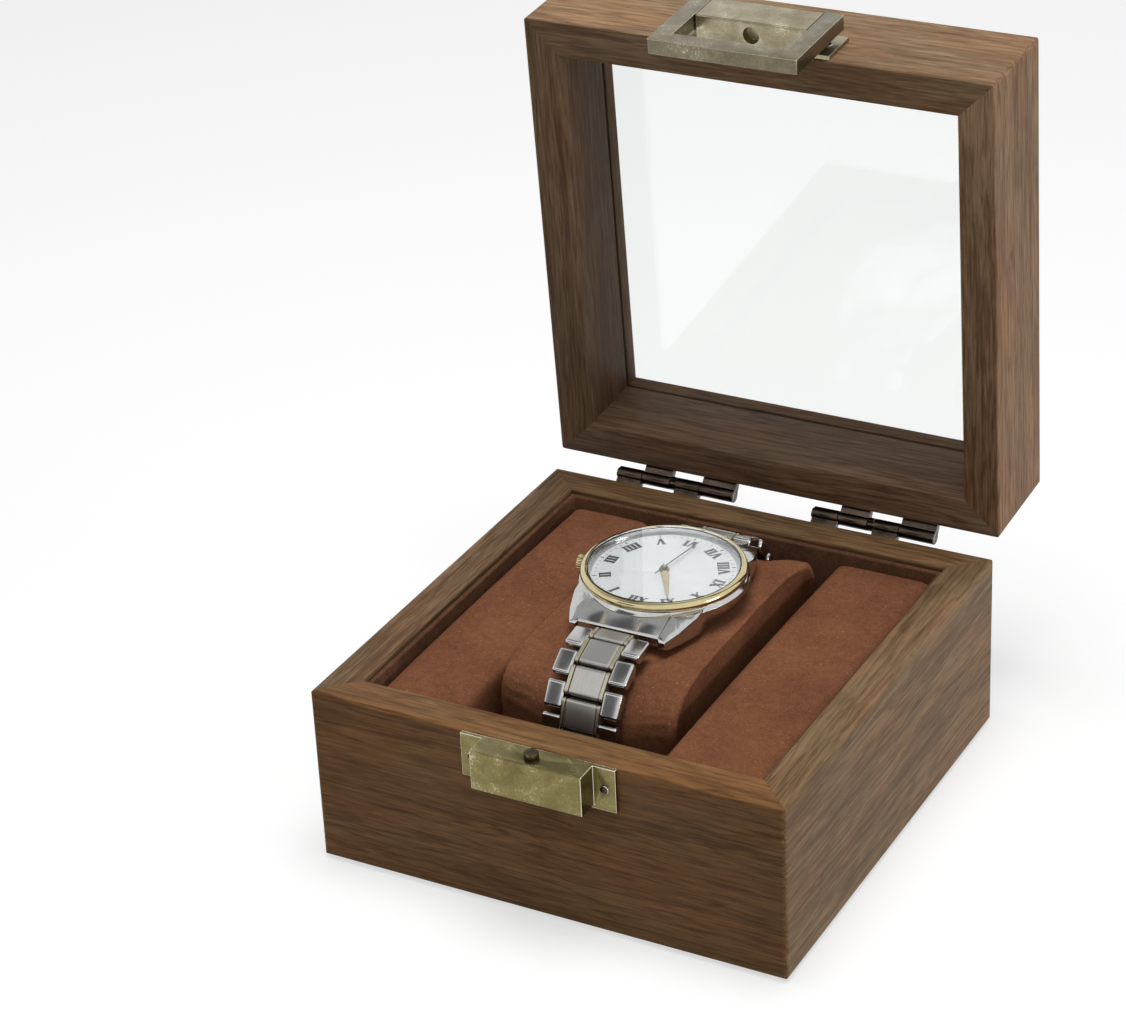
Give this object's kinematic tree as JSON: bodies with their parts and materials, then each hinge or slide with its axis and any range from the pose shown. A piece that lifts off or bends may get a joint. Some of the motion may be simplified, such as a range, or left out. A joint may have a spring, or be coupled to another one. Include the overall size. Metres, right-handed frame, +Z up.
{
  "type": "watch display box",
  "caption": "Square wooden display box with a glass-framed hinged lid, bail latch, suede pads and a lift-out cushion that carries a wristwatch.",
  "frame": {"origin": "middle of the box's underside, on the surface that it stands on", "axes": "+Z up, -Y to the front with the latch, +X to the right; stored with the lid open on its hinge stops"},
  "size_m": [0.115, 0.1511, 0.1694],
  "materials": {
    "walnut": "satin lacquered walnut",
    "panel": "bare board",
    "felt": "pressed felt",
    "velour": "dark brown velour",
    "suede": "rust brown microsuede",
    "old_brass": "antiqued, worn at the edges",
    "dark_bronze": "dark bronze plated",
    "pane": "clear float glass",
    "crystal": "clear",
    "white_dial": "satin white enamel",
    "polished_steel": "polished",
    "brushed_links": "brushed",
    "gold": "polished gold plate",
    "movement_brass": "plain"
  },
  "bodies": {
    "base": {"base_front_wall": "walnut", "base_right_wall": "walnut", "base_back_wall": "walnut", "base_left_wall": "walnut", "bottom_panel": "panel", "base_felt": "felt", "wall_lining": "velour", "left_pad": "suede", "right_pad": "suede", "well_board": "suede", "base_latch_plate": "old_brass", "latch_knob": "old_brass", "base_latch_nails": "dark_bronze", "left_hinge_base_leaf": "dark_bronze", "right_hinge_base_leaf": "dark_bronze", "left_hinge_pin": "dark_bronze", "right_hinge_pin": "dark_bronze", "base_hinge_screws": "dark_bronze"},
    "lid": {"lid_front_rail": "walnut", "lid_right_rail": "walnut", "lid_back_rail": "walnut", "lid_left_rail": "walnut", "lid_glass": "pane", "left_hinge_lid_leaf": "dark_bronze", "right_hinge_lid_leaf": "dark_bronze", "lid_hinge_screws": "dark_bronze", "lid_latch_plate": "old_brass", "lid_latch_nails": "dark_bronze", "bail_pivot_pins": "dark_bronze"},
    "latch_bail": {"latch_bail": "old_brass"},
    "cushion": {"cushion": "suede"},
    "watch": {"watch_case": "polished_steel", "case_back": "polished_steel", "movement": "movement_brass", "bezel": "gold", "crystal": "crystal", "dial": "white_dial", "chapter_ring": "polished_steel", "hand_arbor": "gold", "spring_bars": "brushed_links", "end_links": "polished_steel", "outer_links": "polished_steel", "middle_links": "brushed_links", "gold_bars": "gold", "clasp": "brushed_links"},
    "hour_hand": {"hour_hand": "gold"},
    "minute_hand": {"minute_hand": "gold"},
    "second_hand": {"second_hand": "gold"},
    "crown": {"crown": "gold"}
  },
  "joints": [
    {"name": "lid_hinge", "type": "hinge", "parent": "base", "child": "lid", "pos_m": [0, 0.0609, 0.0441], "axis": [1, 0, 0], "range_deg": [0, 86]},
    {"name": "bail_swing", "type": "hinge", "parent": "lid", "child": "latch_bail", "pos_m": [0, 0.06019, 0.16755], "axis": [-1, 0, 0], "range_deg": [0, 95]},
    {"name": "cushion_lift", "type": "slide", "parent": "base", "child": "cushion", "axis": [0, 0, -1], "range_m": [-0.07, 0]},
    {"name": "watch_shift", "type": "slide", "parent": "cushion", "child": "watch", "axis": [1, 0, 0], "range_m": [-0.004, 0.004]},
    {"name": "minute_hand_turn", "type": "hinge", "parent": "watch", "child": "minute_hand", "pos_m": [-0.00175, 0.0062, 0.0533], "axis": [0, 0, -1], "continuous": true},
    {"name": "hour_hand_turn", "type": "hinge", "parent": "watch", "child": "hour_hand", "pos_m": [-0.00175, 0.0062, 0.0533], "axis": [0, 0, -1], "continuous": true},
    {"name": "second_hand_turn", "type": "hinge", "parent": "watch", "child": "second_hand", "pos_m": [-0.00175, 0.0062, 0.0533], "axis": [0, 0, -1], "continuous": true},
    {"name": "crown_turn", "type": "hinge", "parent": "watch", "child": "crown", "pos_m": [-0.0225, 0.0062, 0.0513], "axis": [-1, 0, 0], "continuous": true}
  ],
  "couplings": [
    {"joint": "hour_hand_turn", "follows": "minute_hand_turn", "ratio": 0.083333}
  ]
}
